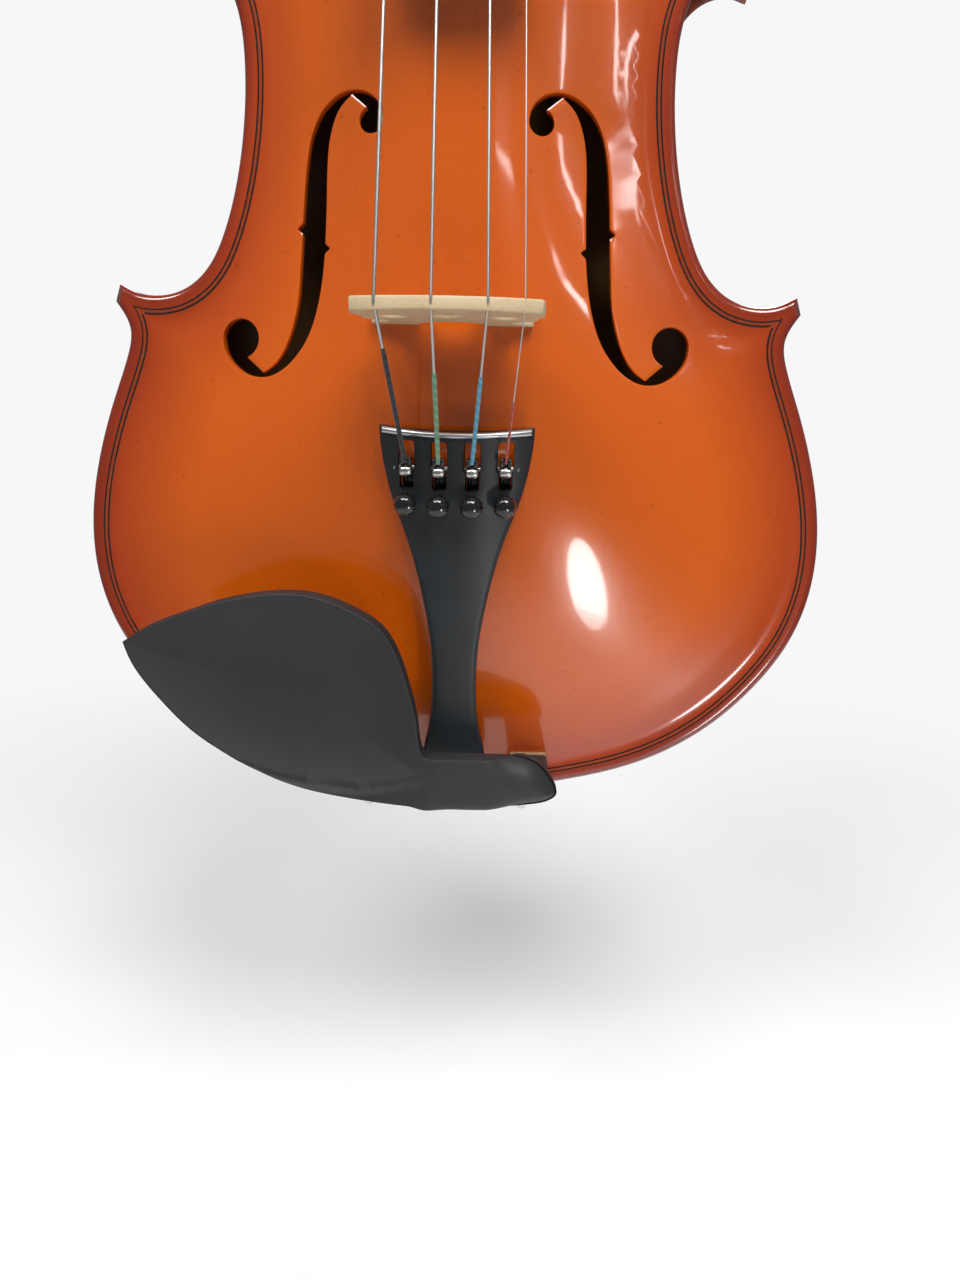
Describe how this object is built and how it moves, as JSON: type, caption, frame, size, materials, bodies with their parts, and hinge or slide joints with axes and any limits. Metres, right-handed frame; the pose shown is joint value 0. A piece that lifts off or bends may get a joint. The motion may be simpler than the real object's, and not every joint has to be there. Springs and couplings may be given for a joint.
{
  "type": "violin",
  "caption": "Violin with arched front and back, carved bridge, black tailpiece with built-in fine tuners, side-mounted chin rest on an adjustable clamp, and turning pegs.",
  "frame": {"origin": "on the end button's axis, at the middle of its round head", "axes": "+Z along the instrument towards the scroll, the front faces -Y, the treble side is +X"},
  "size_m": [0.2068, 0.1034, 0.6027],
  "materials": {
    "front_varnish": "glossy orange-brown varnish",
    "maple_varnish": "glossy red-brown varnish",
    "inlay": "black, pale and black strips",
    "bare_spruce": "bare",
    "neck_maple": "satin",
    "ebony": "polished black",
    "bridge_maple": "bare",
    "tailpiece_black": "fine satin",
    "fret_metal": "bright line",
    "tuner_gloss": "glossy black",
    "tuner_steel": "bright",
    "string_metal": "wound metal",
    "gut_cord": "black cord",
    "chin_rest_black": "matt",
    "cork": "cork sheet",
    "clamp_metal": "plated"
  },
  "bodies": {
    "violin": {"top_plate": "front_varnish", "back_plate": "maple_varnish", "purfling": "inlay", "upper_block": "bare_spruce", "lower_block": "bare_spruce", "corner_blocks": "bare_spruce", "linings": "bare_spruce", "lower_rib_bass": "maple_varnish", "lower_rib_treble": "maple_varnish", "c_rib_bass": "maple_varnish", "c_rib_treble": "maple_varnish", "upper_rib_bass": "maple_varnish", "upper_rib_treble": "maple_varnish", "bass_bar": "bare_spruce", "sound_post": "bare_spruce", "neck_and_scroll": "neck_maple", "fingerboard": "ebony", "nut": "ebony", "saddle": "ebony", "end_button": "ebony", "tail_gut": "gut_cord", "tailpiece": "tailpiece_black", "tailpiece_fret": "fret_metal", "tuner_pivot_pins": "fret_metal", "bridge": "bridge_maple", "string_G": "string_metal", "string_D": "string_metal", "string_A": "string_metal", "string_E": "string_metal", "chin_rest": "chin_rest_black", "chin_rest_cork": "cork", "clamp_studs": "clamp_metal"},
    "tuning_peg_G": {"peg_G": "ebony", "string_winding_G": "string_metal"},
    "tuning_peg_D": {"peg_D": "ebony", "string_winding_D": "string_metal"},
    "tuning_peg_A": {"peg_A": "ebony", "string_winding_A": "string_metal"},
    "tuning_peg_E": {"peg_E": "ebony", "string_winding_E": "string_metal"},
    "tuner_screw_G": {"tuner_shank_G": "tuner_steel"},
    "tuner_knob_G": {"tuner_head_G": "tuner_gloss"},
    "tuner_fork_G": {"tuner_lever_G": "tuner_gloss", "string_ball_G": "tuner_steel"},
    "tuner_screw_D": {"tuner_shank_D": "tuner_steel"},
    "tuner_knob_D": {"tuner_head_D": "tuner_gloss"},
    "tuner_fork_D": {"tuner_lever_D": "tuner_gloss", "string_ball_D": "tuner_steel"},
    "tuner_screw_A": {"tuner_shank_A": "tuner_steel"},
    "tuner_knob_A": {"tuner_head_A": "tuner_gloss"},
    "tuner_fork_A": {"tuner_lever_A": "tuner_gloss", "string_ball_A": "tuner_steel"},
    "tuner_screw_E": {"tuner_shank_E": "tuner_steel"},
    "tuner_knob_E": {"tuner_head_E": "tuner_gloss"},
    "tuner_fork_E": {"tuner_lever_E": "tuner_gloss", "string_ball_E": "tuner_steel"},
    "clamp_turn_bass": {"clamp_barrel_bass": "clamp_metal"},
    "clamp_turn_treble": {"clamp_barrel_treble": "clamp_metal"},
    "clamp_hook": {"clamp_bracket": "clamp_metal", "clamp_cork": "cork"}
  },
  "joints": [
    {"name": "peg_turn_G", "type": "hinge", "parent": "violin", "child": "tuning_peg_G", "pos_m": [0, 0.001, 0.5073], "axis": [1, 0, 0], "continuous": true},
    {"name": "peg_turn_D", "type": "hinge", "parent": "violin", "child": "tuning_peg_D", "pos_m": [0, 0.00609, 0.5348], "axis": [1, 0, 0], "continuous": true},
    {"name": "peg_turn_A", "type": "hinge", "parent": "violin", "child": "tuning_peg_A", "pos_m": [0, 0.0085, 0.5478], "axis": [1, 0, 0], "continuous": true},
    {"name": "peg_turn_E", "type": "hinge", "parent": "violin", "child": "tuning_peg_E", "pos_m": [0, 0.0035, 0.5208], "axis": [1, 0, 0], "continuous": true},
    {"name": "tuner_turn_G", "type": "hinge", "parent": "tuner_screw_G", "child": "tuner_knob_G", "pos_m": [-0.01087, -0.04096, 0.09636], "axis": [0, 0.9913, 0.1317], "range_deg": [-720, 720]},
    {"name": "tuner_travel_G", "type": "slide", "parent": "violin", "child": "tuner_screw_G", "axis": [0, 0.9913, 0.1317], "range_m": [-0.00101, 0.00101]},
    {"name": "tuner_lever_G", "type": "hinge", "parent": "violin", "child": "tuner_fork_G", "pos_m": [-0.01087, -0.04028, 0.10493], "axis": [1, 0, 0], "range_deg": [-6.93, 6.93]},
    {"name": "tuner_turn_D", "type": "hinge", "parent": "tuner_screw_D", "child": "tuner_knob_D", "pos_m": [-0.00243, -0.04253, 0.09615], "axis": [0, 0.9913, 0.1317], "range_deg": [-720, 720]},
    {"name": "tuner_travel_D", "type": "slide", "parent": "violin", "child": "tuner_screw_D", "axis": [0, 0.9913, 0.1317], "range_m": [-0.00101, 0.00101]},
    {"name": "tuner_lever_D", "type": "hinge", "parent": "violin", "child": "tuner_fork_D", "pos_m": [-0.00243, -0.04185, 0.10472], "axis": [1, 0, 0], "range_deg": [-6.93, 6.93]},
    {"name": "tuner_turn_A", "type": "hinge", "parent": "tuner_screw_A", "child": "tuner_knob_A", "pos_m": [0.00602, -0.04253, 0.09615], "axis": [0, 0.9913, 0.1317], "range_deg": [-720, 720]},
    {"name": "tuner_travel_A", "type": "slide", "parent": "violin", "child": "tuner_screw_A", "axis": [0, 0.9913, 0.1317], "range_m": [-0.00101, 0.00101]},
    {"name": "tuner_lever_A", "type": "hinge", "parent": "violin", "child": "tuner_fork_A", "pos_m": [0.00602, -0.04185, 0.10472], "axis": [1, 0, 0], "range_deg": [-6.93, 6.93]},
    {"name": "tuner_turn_E", "type": "hinge", "parent": "tuner_screw_E", "child": "tuner_knob_E", "pos_m": [0.01448, -0.04096, 0.09636], "axis": [0, 0.9913, 0.1317], "range_deg": [-720, 720]},
    {"name": "tuner_travel_E", "type": "slide", "parent": "violin", "child": "tuner_screw_E", "axis": [0, 0.9913, 0.1317], "range_m": [-0.00101, 0.00101]},
    {"name": "tuner_lever_E", "type": "hinge", "parent": "violin", "child": "tuner_fork_E", "pos_m": [0.01448, -0.04028, 0.10493], "axis": [1, 0, 0], "range_deg": [-6.93, 6.93]},
    {"name": "clamp_turn_bass", "type": "hinge", "parent": "violin", "child": "clamp_turn_bass", "pos_m": [-0.024, 0, 0.0038], "axis": [0, 1, 0], "range_deg": [0, 1080]},
    {"name": "clamp_turn_treble", "type": "hinge", "parent": "violin", "child": "clamp_turn_treble", "pos_m": [0.022, 0, 0.0038], "axis": [0, 1, 0], "range_deg": [0, 1080]},
    {"name": "clamp_open", "type": "slide", "parent": "violin", "child": "clamp_hook", "axis": [0, 1, 0], "range_m": [0, 0.00301]}
  ],
  "couplings": [
    {"joint": "tuner_travel_G", "follows": "tuner_turn_G", "m_per_rad": 0.000079577},
    {"joint": "tuner_lever_G", "follows": "tuner_turn_G", "ratio": 0.0094735},
    {"joint": "tuner_travel_D", "follows": "tuner_turn_D", "m_per_rad": 0.000079577},
    {"joint": "tuner_lever_D", "follows": "tuner_turn_D", "ratio": 0.0094735},
    {"joint": "tuner_travel_A", "follows": "tuner_turn_A", "m_per_rad": 0.000079577},
    {"joint": "tuner_lever_A", "follows": "tuner_turn_A", "ratio": 0.0094735},
    {"joint": "tuner_travel_E", "follows": "tuner_turn_E", "m_per_rad": 0.000079577},
    {"joint": "tuner_lever_E", "follows": "tuner_turn_E", "ratio": 0.0094735},
    {"joint": "clamp_turn_treble", "follows": "clamp_turn_bass", "ratio": 1},
    {"joint": "clamp_open", "follows": "clamp_turn_bass", "m_per_rad": 0.00015915}
  ]
}
